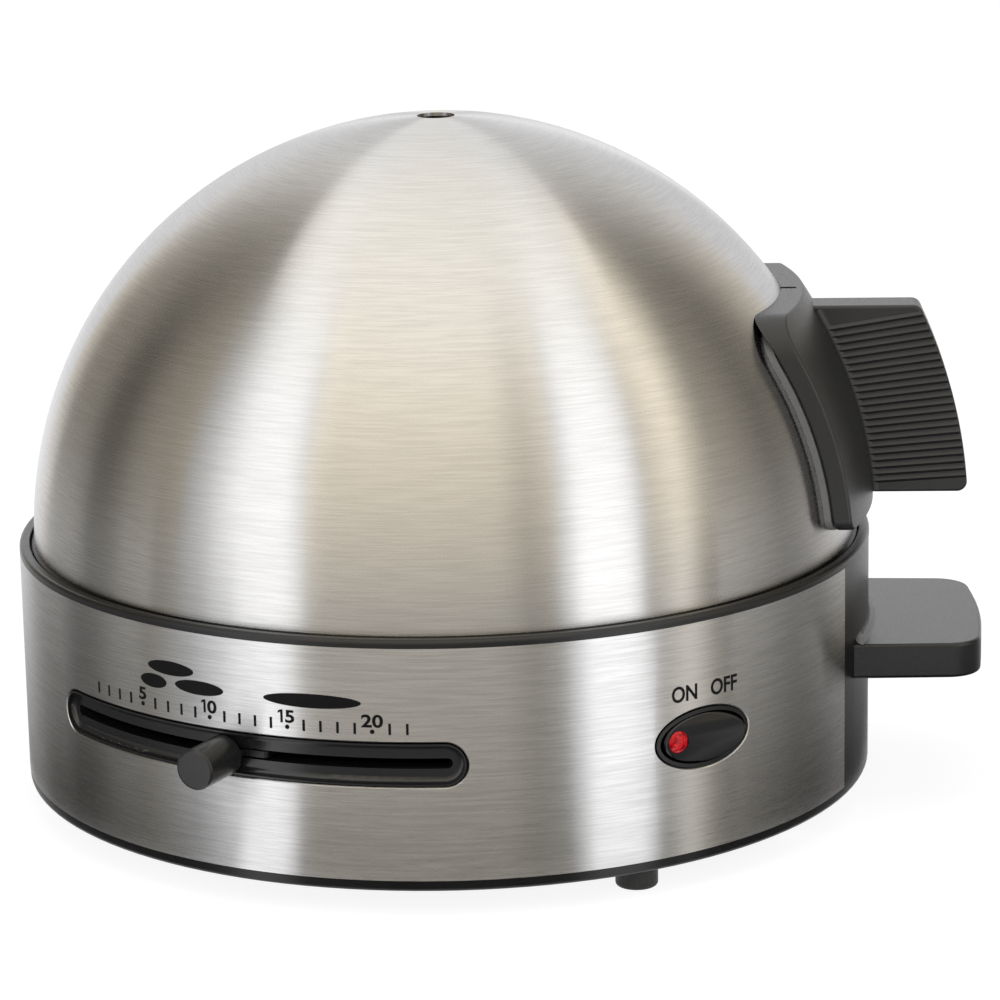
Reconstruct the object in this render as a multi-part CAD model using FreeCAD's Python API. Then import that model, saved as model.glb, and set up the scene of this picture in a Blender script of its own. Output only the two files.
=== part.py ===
import FreeCAD, Part
import math
import os

# Egg cooker: a round base with a heated water pan and a timer, a seven-hole egg rack and a steel dome.
# Millimetres. The origin is on the body's axis at the surface it stands on, +Z is up, both handles are
# on +X and the controls face -Y. A bearing is an angle from -Y towards +X.

# Base body
BASE_R = 95.0
BAND_THICKNESS = 0.6
CUT_EDGE_CHAMFER = 0.25
WALL_THICKNESS = 2.4
RIM_R = 94.9
RIM_BOTTOM = 5.3
RIM_TOP = 7.7
LIP_BOTTOM = 57.3
LIP_TOP = 59.0
LIP_STEP_R = 92.7
LEDGE_R = 84.0
LEDGE_TOP = 55.6
LEDGE_THICKNESS = 2.6
STRIP_HALF_ANGLE = 21.3
STRIP_R = 94.9
HANDLE_BEARING = 90.0

# Tab handle of the base
TAB_ROOT_X = 88.0
TAB_ROOT_HALF = 28.0
TAB_END_HALF = 27.0
TAB_REACH = 120.5
TAB_CORNER_X = 118.2
TAB_CORNER_R = 7.5
TAB_END_R = 160.0
TAB_BOTTOM = 30.2
TAB_TOP = 38.0
TAB_WALL = 2.2
TAB_RIB_Y = 9.0
TAB_ROOT_FILLET = 1.8

# Bottom cover, feet and screws
PLATE_BOTTOM = 5.6
PLATE_TOP = 7.6
FOOT_R = 4.5
FOOT_CIRCLE = 87.0
FOOT_BEARINGS = (30.0, 150.0, 270.0)
BOSS_CIRCLE = 88.3
BOSS_R = 3.8
BOSS_TOP = 22.0
BOSS_BEARINGS = (-75.0, 60.0, 125.0, 235.0)
SCREW_R = 1.45

# Water pan and what hangs under it
PAN_FLANGE_R = 92.2
PAN_INNER_R = 81.0
PAN_SHEET = 1.0
SEAL_THICKNESS = 0.8
PAN_FLOOR = 47.0
SPREADER_R = 62.0
SPREADER_THICKNESS = 3.0
ELEMENT_CIRCLE = 46.0
ELEMENT_R = 3.3
ELEMENT_GAP = 40.0
SPIDER_SHEET = 1.5
SPIDER_R = 56.0
SPIDER_ARM = 14.0
SPIDER_BEARINGS = (90.0, 180.0, 270.0)
STUD_CIRCLE = 28.0
STUD_R = 2.0

# Lid
DOME_R = 91.7
DOME_SHEET = 0.8
DOME_CENTRE = 59.5
DOME_BOTTOM = 57.6
HEM_R = 92.3
VENT_R = 4.15

# Lid handle
SPACER_THICKNESS = 1.3
SPACER_TOP_INSET = 2.5
GRIP_PLATE_R = 96.0
GRIP_PLAN_R = 114.0
GRIP_HALF = 36.3
GRIP_BOTTOM = 65.5
GRIP_TOP = 112.0
GRIP_EDGE = 0.7
GRIP_GAP = 0.7
GRIP_GAP_DEPTH = 1.2
GRIP_NOTCH_R = 0.9
FIN_THICKNESS = 9.6
FIN_BOTTOM = 66.55
FIN_ROOT_FILLET = 1.6
FIN_TIP_FILLET = 2.2
FIN_TOP = 108.75
FIN_EDGE = ((105.65, FIN_TOP), (112.6, 90.5), (116.6, FIN_BOTTOM))
RIB_COUNT = 23
RIB_TOP = 103.4
RIB_BOTTOM = 69.2
RIB_TOP_TILT = 9.0
RIB_BOTTOM_TILT = 3.5
RIB_HEIGHT = 0.5
RIB_HALF_WIDTH = 0.65
RIB_FOOT = 0.3
RIB_END_INSET = 0.3
GRIP_SCREW_TILTS = (11.0, 25.5)

# Egg rack
RACK_R = 80.0
RACK_TOP = 65.6
RACK_SHEET = 1.6
EGG_HOLE_R = 18.0
EGG_CIRCLE = 52.0
RACK_LEG_CIRCLE = 72.0
RACK_LEG_AZIMUTHS = (30.0, 150.0, 210.0, 330.0)
TAB_CIRCLE = 73.0
LIFT_TAB_WIDTH = 22.0
LIFT_TAB_TOP = 84.0

# Time slider
SLIDER_FROM = -55.75
SLIDER_TO = 5.9
SLIDER_Z = 32.6
SLIDER_HEIGHT = 9.6
SLIDER_CORNER = SLIDER_HEIGHT / 2
SLIDER_GAP = 0.3
SLOT_FROM = -54.0
SLOT_TO = 4.0
SLOT_Z = 32.5
SLOT_HEIGHT = 2.2
TRACK_LIP = 0.4
TRACK_COVE = 1.2
TRACK_FLOOR_R = 93.4
TRACK_BACK_R = 89.2
KNOB_BEARING = -25.6
KNOB_Z = 32.1
KNOB_R = 4.3
KNOB_EDGE = 0.6
KNOB_BASE_R = 95.4
KNOB_NECK_R = 3.0
KNOB_ROOT_R = 93.9
KNOB_TIP_R = 106.8
KNOB_STEM_HALF = 2.0
BLADE_FROM = -2.5
BLADE_TO = 5.5
BLADE_HEIGHT = 1.4
BLADE_TIP_R = 93.2
BLADE_CORNER = 0.9
ARM_SHEET = 2.0
ARM_WIDTH = 10.0
ARM_BOTTOM = 24.4
ARM_BEND_R = 80.0
ARM_END_R = 88.5
BLADE_ROOT_R = 82.5
KNOB_SCREW_CIRCLE = 85.5
KNOB_SCREW_R = 1.1
SHAFT_R = 3.0

# Power switch
SWITCH_BEARING = 37.55
SWITCH_Z = 32.3
SWITCH_HALF_WIDTH = 12.2
SWITCH_HALF_HEIGHT = 6.55
SWITCH_GAP = 0.25
WELL_WALL = 0.85
WELL_BACK_R = 88.0
SWITCH_BODY_DEPTH = 14.0
ROCKER_HALF_WIDTH = 9.95
ROCKER_HALF_HEIGHT = 5.25
ROCKER_PIVOT_R = 93.0
ROCKER_BACK_R = 91.5
ROCKER_FACE_R = 95.8
ROCKER_CROWN_R = 20.0
ROCKER_EDGE = 0.5
ROCKER_TILT = 6.5
TRUNNION_R = 1.2
LENS_R = 2.35
LENS_X = -6.5
LENS_RISE = 0.1
LENS_SEAT_R = 92.2
LENS_DOME_R = 3.2
LENS_PROUD = 0.8

# Electronics and supply
BOARD_BOTTOM = 11.6
BOARD_TOP = 13.2
BOARD_X = 40.0
BOARD_FRONT = -45.0
BOARD_BACK = 25.0
BOARD_HOLE_INSET = 5.0
POT_R = 8.5
POT_TOP = 21.2
GLAND_Z = 18.0
GLAND_BORE_R = 3.6
GLAND_BODY_R = 5.5
GLAND_FLANGE_R = 7.5

# Where the seam of a full turn lies, from +X
SEAM_AZIMUTH = 45.0

AXIS = FreeCAD.Vector(0, 0, 1)
ORIGIN = FreeCAD.Vector(0, 0, 0)
WALL_OUTER_R = BASE_R - BAND_THICKNESS
WALL_INNER_R = WALL_OUTER_R - WALL_THICKNESS


def on_section(r, z):
    return FreeCAD.Vector(r, 0, z)


def on_plan(x, y):
    return FreeCAD.Vector(x, y, 0)


def rounded_wire(corners, place):
    """Closed wire through (u, v, radius) corners, each rounded by a tangent arc of its radius."""
    joints = []
    for i, (u, v, radius) in enumerate(corners):
        here = FreeCAD.Vector(u, v, 0)
        back = FreeCAD.Vector(*corners[i - 1][:2], 0) - here
        ahead = FreeCAD.Vector(*corners[(i + 1) % len(corners)][:2], 0) - here
        back.normalize()
        ahead.normalize()
        half = back.getAngle(ahead) / 2
        reach = radius / math.tan(half)
        middle = back + ahead
        if radius:
            middle.normalize()
        bulge = here + middle * (radius / math.sin(half) - radius)
        joints.append((here + back * reach, bulge, here + ahead * reach, radius))
    edges = []
    for i, (start, bulge, end, radius) in enumerate(joints):
        following = joints[(i + 1) % len(joints)][0]
        if radius:
            points = [place(p.x, p.y) for p in (start, bulge, end)]
            edges.append(Part.Arc(*points).toShape())
        if end.distanceToPoint(following) > 1e-6:
            edges.append(Part.makeLine(place(end.x, end.y), place(following.x, following.y)))
    return Part.Wire(edges)


def full_turn(face):
    """Turns a section right round the body's axis, with the seam clear of every cut-out."""
    solid = face.revolve(ORIGIN, AXIS, 360)
    solid.rotate(ORIGIN, AXIS, SEAM_AZIMUTH)
    return solid


def turned(corners):
    """Solid turned about the body's axis from a section of (r, z, radius) corners."""
    return full_turn(Part.Face(rounded_wire(corners, on_section)))


def plate(corners, bottom, top):
    """Flat piece of the plan outline (x, y, radius) between two heights."""
    face = Part.Face(rounded_wire(corners, on_plan))
    face.translate(AXIS * bottom)
    return face.extrude(AXIS * (top - bottom))


def ring(r_in, r_out, bottom, top):
    return turned([(r_in, bottom, 0), (r_out, bottom, 0), (r_out, top, 0), (r_in, top, 0)])


def post(x, y, radius, bottom, top):
    return Part.makeCylinder(radius, top - bottom, FreeCAD.Vector(x, y, bottom))


def turn_to(bearing, shape):
    """Copy of a piece drawn at the front (-Y), turned to its bearing."""
    copy = shape.copy()
    copy.rotate(ORIGIN, AXIS, bearing)
    return copy


def round_about(shape, bearings):
    return Part.makeCompound([turn_to(bearing, shape) for bearing in bearings])


def sector(r_in, r_out, bottom, top, bearing_from, bearing_to):
    section = [(r_in, bottom, 0), (r_out, bottom, 0), (r_out, top, 0), (r_in, top, 0)]
    face = Part.Face(rounded_wire(section, on_section))
    return turn_to(bearing_from - HANDLE_BEARING, face.revolve(ORIGIN, AXIS, bearing_to - bearing_from))


def radial_rod(radius, r_in, r_out, z, x=0.0):
    """Rod that stands out of the front."""
    return Part.makeCylinder(radius, r_out - r_in, FreeCAD.Vector(x, -r_in, z), FreeCAD.Vector(0, -1, 0))


def window(r_in, r_out, bearing_from, bearing_to, z, height, corner):
    """Curved bar with rounded corners that follows the base between two bearings."""
    inset = math.degrees(corner / BASE_R)
    low = z - height / 2
    high = z + height / 2
    pieces = [sector(r_in, r_out, low, high, bearing_from + inset, bearing_to - inset)]
    shell = ring(r_in, r_out, low - 1, high + 1)
    side = height / 2 - corner
    for bearing in (bearing_from + inset, bearing_to - inset):
        end = radial_rod(corner, r_in - 2, r_out + 2, z + side)
        if side > 0:
            web = Part.makeBox(2 * corner, r_out - r_in + 4, 2 * side)
            web.translate(FreeCAD.Vector(-corner, -r_out - 2, z - side))
            end = end.fuse([web, radial_rod(corner, r_in - 2, r_out + 2, z - side)])
        pieces.append(turn_to(bearing, end).common(shell))
    return pieces[0].fuse(pieces[1:]).removeSplitter()


def oval(half_width, half_height, r_in, r_out, z):
    """Elliptical bar that stands out of the front."""
    ellipse = Part.Ellipse(ORIGIN, half_width, half_height).toShape()
    face = Part.Face(Part.Wire([ellipse]))
    face.rotate(ORIGIN, FreeCAD.Vector(1, 0, 0), 90)
    face.translate(FreeCAD.Vector(0, -r_in, z))
    return face.extrude(FreeCAD.Vector(0, r_in - r_out, 0))


def dome_rod(radius, tilt, r_in, r_out):
    """Rod square to the dome on the handle's side, at a tilt above the dome's equator."""
    rod = Part.makeCylinder(radius, r_out - r_in, FreeCAD.Vector(r_in, 0, 0), FreeCAD.Vector(1, 0, 0))
    rod.rotate(ORIGIN, FreeCAD.Vector(0, 1, 0), -tilt)
    rod.translate(AXIS * DOME_CENTRE)
    return rod


def dome_ball(radius):
    """Ball about the dome's centre, with its seam away from the handle."""
    ball = Part.makeSphere(radius)
    ball.rotate(ORIGIN, AXIS, 180)
    ball.translate(AXIS * DOME_CENTRE)
    return ball


def dome_shell(r_in, r_out):
    return dome_ball(r_out).cut(dome_ball(r_in))


def save(name, shape):
    shape.exportStep("parts/" + name + ".step")


def lid_dome():
    """Spun steel hemisphere with a short skirt, a turned hem and a vent at the top."""
    inner_r = DOME_R - DOME_SHEET

    def on_arc(radius, r):
        return on_section(r, DOME_CENTRE + math.sqrt(radius ** 2 - r ** 2))

    hem_top = DOME_BOTTOM + 0.9
    walls = [
        on_section(inner_r, DOME_CENTRE),
        on_section(inner_r, DOME_BOTTOM),
        on_section(HEM_R, DOME_BOTTOM),
        on_section(HEM_R, hem_top),
        on_section(DOME_R, hem_top + 0.4),
        on_section(DOME_R, DOME_CENTRE),
    ]
    edges = [Part.makeLine(a, b) for a, b in zip(walls, walls[1:])]
    edges.append(Part.Arc(walls[-1], on_arc(DOME_R, DOME_R / 2), on_arc(DOME_R, VENT_R)).toShape())
    edges.append(Part.makeLine(on_arc(DOME_R, VENT_R), on_arc(inner_r, VENT_R)))
    edges.append(Part.Arc(on_arc(inner_r, VENT_R), on_arc(inner_r, inner_r / 2), walls[0]).toShape())
    dome = full_turn(Part.Face(Part.Wire(edges)))
    holes = [dome_rod(SCREW_R, tilt, DOME_R - 5, DOME_R + 5) for tilt in GRIP_SCREW_TILTS]
    return dome.cut(holes)


def grip_prism(half_width, bottom, top):
    """Block along +X with the handle plate's outline: large round top corners, small bottom ones."""
    corners = [
        (-half_width, bottom, 3.0),
        (half_width, bottom, 3.0),
        (half_width, top, 8.5),
        (-half_width, top, 8.5),
    ]
    face = Part.Face(rounded_wire(corners, lambda y, z: FreeCAD.Vector(50.0, y, z)))
    return face.extrude(FreeCAD.Vector(60, 0, 0))


def lid_handle_spacer():
    shell = dome_shell(DOME_R, DOME_R + SPACER_THICKNESS)
    spacer = shell.common(grip_prism(GRIP_HALF - 0.2, GRIP_BOTTOM, GRIP_TOP - SPACER_TOP_INSET))
    holes = [dome_rod(SCREW_R, tilt, DOME_R - 5, DOME_R + 5) for tilt in GRIP_SCREW_TILTS]
    return spacer.cut(holes)


def fin_face(inset):
    """Side outline of the handle's fin, running in behind the plate."""
    top, middle, low = [on_section(*point) for point in FIN_EDGE]
    heel = on_section(80.0, FIN_BOTTOM)
    nape = on_section(68.0, FIN_TOP)
    edges = [
        Part.Arc(top, middle, low).toShape(),
        Part.makeLine(low, heel),
        Part.makeLine(heel, nape),
        Part.makeLine(nape, top),
    ]
    wire = Part.Wire(edges)
    if inset:
        wire = wire.makeOffset2D(-inset)
    return Part.Face(wire)


def fin_ribs():
    """Fan of sharp-crested ribs on both sides of the fin."""
    half = FIN_THICKNESS / 2
    root_r = GRIP_PLATE_R - 0.5
    ribs = []
    for i in range(RIB_COUNT):
        share = i / (RIB_COUNT - 1)
        z = RIB_TOP + share * (RIB_BOTTOM - RIB_TOP)
        tilt = math.radians(RIB_TOP_TILT + share * (RIB_BOTTOM_TILT - RIB_TOP_TILT))
        x = math.sqrt(root_r ** 2 - (z - DOME_CENTRE) ** 2)
        along = FreeCAD.Vector(math.cos(tilt), 0, math.sin(tilt))
        foot_half = RIB_HALF_WIDTH * (RIB_HEIGHT + RIB_FOOT) / RIB_HEIGHT
        across = FreeCAD.Vector(-math.sin(tilt), 0, math.cos(tilt)) * foot_half
        for side in (-1, 1):
            foot = FreeCAD.Vector(x, side * (half - RIB_FOOT), z)
            crest = FreeCAD.Vector(x, side * (half + RIB_HEIGHT), z)
            triangle = Part.Face(Part.makePolygon([foot - across, crest, foot + across, foot - across]))
            ribs.append(triangle.extrude(along * 30))
    limit = fin_face(RIB_END_INSET).extrude(FreeCAD.Vector(0, 2 * FIN_THICKNESS, 0))
    limit.translate(FreeCAD.Vector(0, -FIN_THICKNESS, 0))
    return [rib.common(limit) for rib in ribs]


def fin_coves():
    """Fillets that carry the plate into both sides of the fin, turned about the dome's centre."""
    half = FIN_THICKNESS / 2
    wide = half + FIN_ROOT_FILLET
    foot = math.sqrt(GRIP_PLATE_R ** 2 - wide ** 2)
    crest = foot + FIN_ROOT_FILLET
    hollow = FIN_ROOT_FILLET * math.sqrt(0.5)

    def level(r, y):
        return FreeCAD.Vector(r, y, DOME_CENTRE)

    corners = [level(crest, half), level(crest, -half), level(foot, -wide), level(foot - 1, -wide),
               level(foot - 1, wide), level(foot, wide)]
    edges = [
        Part.makeLine(corners[0], corners[1]),
        Part.Arc(corners[1], level(crest - hollow, hollow - wide), corners[2]).toShape(),
        Part.makeLine(corners[2], corners[3]),
        Part.makeLine(corners[3], corners[4]),
        Part.makeLine(corners[4], corners[5]),
        Part.Arc(corners[5], level(crest - hollow, wide - hollow), corners[0]).toShape(),
    ]
    centre = AXIS * DOME_CENTRE
    upwards = FreeCAD.Vector(0, -1, 0)
    low = math.degrees(math.asin((FIN_BOTTOM - DOME_CENTRE + 0.4) / foot))
    high = math.degrees(math.asin((FIN_TOP - DOME_CENTRE - 0.4) / crest))
    coves = Part.Face(Part.Wire(edges)).revolve(centre, upwards, high - low)
    coves.rotate(centre, upwards, low)
    return coves


def edges_near(shape, test):
    return [edge for edge in shape.Edges if test(edge.CenterOfMass)]


def grip_front():
    """Body behind the plate's front: an arc about the dome's centre, turned about an axis set back."""
    def at_tilt(degrees):
        tilt = math.radians(degrees)
        return on_section(GRIP_PLATE_R * math.cos(tilt), DOME_CENTRE + GRIP_PLATE_R * math.sin(tilt))

    low, middle, high = (at_tilt(degrees) for degrees in (-5, 20, 50))
    inside = [on_section(40, high.z), on_section(40, low.z)]
    edges = [Part.Arc(low, middle, high).toShape()]
    edges += [Part.makeLine(a, b) for a, b in zip([high, *inside], [*inside, low])]
    pivot = FreeCAD.Vector(GRIP_PLATE_R - GRIP_PLAN_R, 0, 0)
    body = Part.Face(Part.Wire(edges)).revolve(pivot, AXIS, 60)
    body.rotate(pivot, AXIS, -30)
    return body


def on_grip_front(point):
    set_back = GRIP_PLAN_R - GRIP_PLATE_R
    level = math.hypot(point.x + set_back, point.y) - set_back
    return abs(math.hypot(level, point.z - DOME_CENTRE) - GRIP_PLATE_R) < 0.01


def lid_handle():
    """Curved plate on the dome with a ribbed upright fin, moulded in one, rebated round its back edge."""
    back_r = DOME_R + SPACER_THICKNESS
    grip = grip_front().common(grip_prism(GRIP_HALF, GRIP_BOTTOM, GRIP_TOP)).cut(dome_ball(back_r))
    front = [e for e in grip.Edges if all(on_grip_front(v.Point) for v in e.Vertexes)]
    grip = grip.makeFillet(GRIP_EDGE, front)
    seat = grip_prism(GRIP_HALF - GRIP_GAP_DEPTH, GRIP_BOTTOM + GRIP_GAP_DEPTH, GRIP_TOP - GRIP_GAP_DEPTH)
    grip = grip.cut(dome_shell(back_r - 1, back_r + GRIP_GAP).cut(seat))
    fin = fin_face(0).extrude(FreeCAD.Vector(0, FIN_THICKNESS, 0))
    fin.translate(FreeCAD.Vector(0, -FIN_THICKNESS / 2, 0))
    tips = edges_near(fin, lambda c: abs(c.y) < 0.1 and c.x > 100)
    fin = fin.makeFillet(FIN_TIP_FILLET, tips)
    rims = edges_near(fin, lambda c: abs(abs(c.y) - FIN_THICKNESS / 2) < 0.1 and c.x > 88)
    fin = fin.makeFillet(GRIP_EDGE, rims)
    fin = fin.cut(dome_ball(back_r + GRIP_GAP + 0.1))
    grip = grip.fuse([fin, fin_coves()])
    grip = grip.fuse(fin_ribs()).removeSplitter()
    holes = [dome_rod(SCREW_R, tilt, DOME_R, DOME_R + 13) for tilt in GRIP_SCREW_TILTS]
    nape = on_section(math.sqrt(back_r ** 2 - (GRIP_TOP - DOME_CENTRE) ** 2) - 1, GRIP_TOP)
    notch = Part.makeCylinder(GRIP_NOTCH_R, 3, nape, FreeCAD.Vector(1, 0, 0))
    return grip.cut(holes + [notch])


def lid_handle_screws():
    """Pan-head screws driven from inside the dome into the fin's root."""
    head_r = DOME_R - DOME_SHEET - 0.8
    screws = []
    for tilt in GRIP_SCREW_TILTS:
        shank = dome_rod(SCREW_R, tilt, head_r, DOME_R + 12.5)
        screws.append(shank.fuse(dome_rod(3.2, tilt, head_r - 2.2, head_r)).removeSplitter())
    return Part.makeCompound(screws)


def lid_handle_washers():
    inner_r = DOME_R - DOME_SHEET
    washers = []
    for tilt in GRIP_SCREW_TILTS:
        washer = dome_rod(4.6, tilt, inner_r - 0.8, inner_r + 1)
        washer = washer.common(dome_ball(inner_r))
        washers.append(washer.cut(dome_rod(SCREW_R, tilt, inner_r - 2, inner_r + 2)))
    return Part.makeCompound(washers)


def egg_rack():
    """Moulded tray with a hole for each egg, a hanging skirt, four legs and two lifting tabs."""
    under = RACK_TOP - RACK_SHEET
    tray = turned([
        (0, under, 0),
        (RACK_R - RACK_SHEET, under, 1.2),
        (RACK_R - RACK_SHEET, RACK_TOP - 6, 0),
        (RACK_R, RACK_TOP - 6, 0),
        (RACK_R, RACK_TOP, 1.5),
        (0, RACK_TOP, 0),
    ])
    centres = [(0.0, 0.0)]
    for i in range(6):
        angle = math.radians(60 * i)
        centres.append((EGG_CIRCLE * math.cos(angle), EGG_CIRCLE * math.sin(angle)))
    collars = [post(x, y, EGG_HOLE_R + 1.6, under - 2, RACK_TOP + 1) for x, y in centres]
    holes = [post(x, y, EGG_HOLE_R, under - 5, RACK_TOP + 5) for x, y in centres]
    added = list(collars)
    leg_end = PAN_FLOOR + 0.2
    for azimuth in RACK_LEG_AZIMUTHS:
        leg = Part.makeCone(2.6, 4.0, under + 0.5 - leg_end, on_section(RACK_LEG_CIRCLE, leg_end))
        leg.rotate(ORIGIN, AXIS, azimuth)
        added.append(leg)
    half = LIFT_TAB_WIDTH / 2
    outline = [
        (-half, under + 0.5, 0),
        (half, under + 0.5, 0),
        (half - 2, LIFT_TAB_TOP, 4),
        (2 - half, LIFT_TAB_TOP, 4),
    ]
    tab = Part.Face(rounded_wire(outline, lambda x, z: FreeCAD.Vector(x, -TAB_CIRCLE - 1.2, z)))
    tab = tab.extrude(FreeCAD.Vector(0, 2.4, 0))
    lip = Part.makeBox(LIFT_TAB_WIDTH - 10, 1.4, 2.0)
    lip.translate(FreeCAD.Vector(5 - half, -TAB_CIRCLE - 2.5, LIFT_TAB_TOP - 2.6))
    tab = tab.fuse(lip)
    added += [tab, turn_to(180, tab)]
    return tray.fuse(added).cut(holes).removeSplitter()


def tab_outline():
    return [
        (TAB_ROOT_X, -TAB_ROOT_HALF, 0),
        (TAB_CORNER_X, -TAB_END_HALF, TAB_CORNER_R),
        (TAB_REACH, 0, TAB_END_R),
        (TAB_CORNER_X, TAB_END_HALF, TAB_CORNER_R),
        (TAB_ROOT_X, TAB_ROOT_HALF, 0),
    ]


def tab_handle():
    """Flat tab to hold the base by, cored out from below with two stiffening ribs."""
    tab = plate(tab_outline(), TAB_BOTTOM, TAB_TOP)
    rims = edges_near(tab, lambda c: c.x > 90 and min(abs(c.z - TAB_TOP), abs(c.z - TAB_BOTTOM)) < 0.01)
    tab = tab.makeFillet(0.8, rims)
    core = Part.Face(rounded_wire(tab_outline(), on_plan)).makeOffset2D(-TAB_WALL)
    core.translate(AXIS * TAB_BOTTOM)
    core = core.extrude(AXIS * (TAB_TOP - TAB_BOTTOM - TAB_WALL))
    core = core.cut(Part.makeCylinder(STRIP_R + TAB_WALL, 100))
    for y in (-TAB_RIB_Y, TAB_RIB_Y):
        core = core.cut(Part.makeBox(60, 1.6, 60, FreeCAD.Vector(80, y - 0.8, 0)))
    return tab.cut([core, Part.makeCylinder(WALL_INNER_R + 0.5, 100)])


def slider_window(r_in, r_out, grow=0.0):
    arc = math.degrees(grow / BASE_R)
    return window(r_in, r_out, SLIDER_FROM - arc, SLIDER_TO + arc, SLIDER_Z,
                  SLIDER_HEIGHT + 2 * grow, SLIDER_CORNER + grow)


def switch_window(r_in, r_out):
    return turn_to(SWITCH_BEARING, oval(SWITCH_HALF_WIDTH, SWITCH_HALF_HEIGHT, r_in, r_out, SWITCH_Z))


def gland_hole():
    return turn_to(180, radial_rod(GLAND_BODY_R, 80, 110, GLAND_Z))


def tab_cove():
    """Fillet that carries the tab's top up into the side strip."""
    toe = STRIP_R + TAB_ROOT_FILLET
    crest = TAB_TOP + TAB_ROOT_FILLET
    hollow = TAB_ROOT_FILLET * math.sqrt(0.5)
    inside = STRIP_R - 1
    below = TAB_TOP - 0.5
    corners = [on_section(*place) for place in (
        (STRIP_R, crest), (inside, crest), (inside, below), (toe, below), (toe, TAB_TOP))]
    edges = [Part.makeLine(a, b) for a, b in zip(corners, corners[1:])]
    edges.append(Part.Arc(corners[-1], on_section(toe - hollow, crest - hollow), corners[0]).toShape())
    half_angle = math.degrees(math.asin((TAB_ROOT_HALF - 0.8) / STRIP_R))
    cove = Part.Face(Part.Wire(edges)).revolve(ORIGIN, AXIS, 2 * half_angle)
    cove.rotate(ORIGIN, AXIS, -half_angle)
    return cove


def base_housing():
    """Moulded body: lower rim, wall, top lip, pan ledge, side strip, tab handle and screw bosses."""
    body = turned([
        (WALL_INNER_R, RIM_BOTTOM, 0),
        (RIM_R, RIM_BOTTOM, 0.8),
        (RIM_R, RIM_TOP, 0),
        (WALL_OUTER_R, RIM_TOP, 0),
        (WALL_OUTER_R, LIP_BOTTOM, 0),
        (BASE_R, LIP_BOTTOM, 0),
        (BASE_R, LIP_TOP, 0.9),
        (LIP_STEP_R, LIP_TOP, 0.4),
        (LIP_STEP_R, LEDGE_TOP, 0),
        (LEDGE_R, LEDGE_TOP, 0),
        (LEDGE_R, LEDGE_TOP - LEDGE_THICKNESS, 0),
        (WALL_INNER_R, LEDGE_TOP - LEDGE_THICKNESS, 0),
    ])
    strip = sector(WALL_INNER_R + 1, STRIP_R, RIM_TOP - 0.5, LIP_BOTTOM + 0.1,
                   HANDLE_BEARING - STRIP_HALF_ANGLE, HANDLE_BEARING + STRIP_HALF_ANGLE)
    boss = post(0, -BOSS_CIRCLE, BOSS_R, PLATE_TOP, BOSS_TOP).common(Part.makeCylinder(WALL_INNER_R + 1, 60))
    body = body.fuse([strip, tab_handle(), tab_cove(), *round_about(boss, BOSS_BEARINGS).Solids])
    pilot = post(0, -BOSS_CIRCLE, SCREW_R, PLATE_TOP - 1, BOSS_TOP - 2)
    cuts = [slider_window(80, 100), switch_window(80, 100), gland_hole()]
    return body.cut(cuts + round_about(pilot, BOSS_BEARINGS).Solids).removeSplitter()


def steel_band():
    """Brushed strip bent round the body, open at the side strip, with bevelled cut-outs."""
    gap = 0.2
    band = sector(WALL_OUTER_R, BASE_R, RIM_TOP, LIP_BOTTOM,
                  HANDLE_BEARING + STRIP_HALF_ANGLE + gap, HANDLE_BEARING + 360 - STRIP_HALF_ANGLE - gap)
    band = band.cut([slider_window(80, 100), switch_window(80, 100), gland_hole()])
    cut_edges = [e for e in band.Edges if e.CenterOfMass.y < 0 and all(
        abs(math.hypot(v.X, v.Y) - BASE_R) < 0.01 and RIM_TOP + 1 < v.Z < LIP_BOTTOM - 1 for v in e.Vertexes)]
    return band.makeChamfer(CUT_EDGE_CHAMFER, cut_edges)


def water_pan():
    top = LEDGE_TOP + SEAL_THICKNESS + PAN_SHEET
    outer_r = PAN_INNER_R + PAN_SHEET
    pan = turned([
        (0, PAN_FLOOR - PAN_SHEET, 0),
        (outer_r, PAN_FLOOR - PAN_SHEET, 5.0),
        (outer_r, top - PAN_SHEET, 1.0),
        (PAN_FLANGE_R, top - PAN_SHEET, 0),
        (PAN_FLANGE_R, top, 0),
        (PAN_INNER_R, top, 2.0),
        (PAN_INNER_R, PAN_FLOOR, 4.0),
        (0, PAN_FLOOR, 0),
    ])
    return pan


def pan_seal():
    return ring(LEDGE_R + 1, PAN_FLANGE_R - 0.4, LEDGE_TOP, LEDGE_TOP + SEAL_THICKNESS)


def spreader_bottom():
    return PAN_FLOOR - PAN_SHEET - SPREADER_THICKNESS


def stud_rods(radius, bottom, top):
    return round_about(post(0, -STUD_CIRCLE, radius, bottom, top), (30, 150, 270)).Solids


def heat_spreader():
    bottom = spreader_bottom()
    disc = turned([(0, bottom, 0), (SPREADER_R, bottom, 1), (SPREADER_R, bottom + SPREADER_THICKNESS, 0),
                   (0, bottom + SPREADER_THICKNESS, 0)])
    return disc.cut(stud_rods(STUD_R, bottom - 1, bottom + SPREADER_THICKNESS + 1))


def heating_element():
    """Sheathed heater bent into an open ring, with a contact pin at each end."""
    z = spreader_bottom() - ELEMENT_R
    section = Part.Face(Part.Wire([Part.makeCircle(ELEMENT_R, on_section(ELEMENT_CIRCLE, z),
                                                   FreeCAD.Vector(0, 1, 0))]))
    tube = section.revolve(ORIGIN, AXIS, 360 - ELEMENT_GAP)
    tube.rotate(ORIGIN, AXIS, 90 + ELEMENT_GAP / 2)
    pieces = []
    for side in (-1, 1):
        pin = Part.makeCylinder(1.4, 9, on_section(ELEMENT_CIRCLE, z), FreeCAD.Vector(0, -side, 0))
        pin.rotate(ORIGIN, AXIS, 90 + side * ELEMENT_GAP / 2)
        pieces.append(pin)
    return tube.fuse(pieces)


def spider_top():
    return spreader_bottom() - 2 * ELEMENT_R


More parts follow.
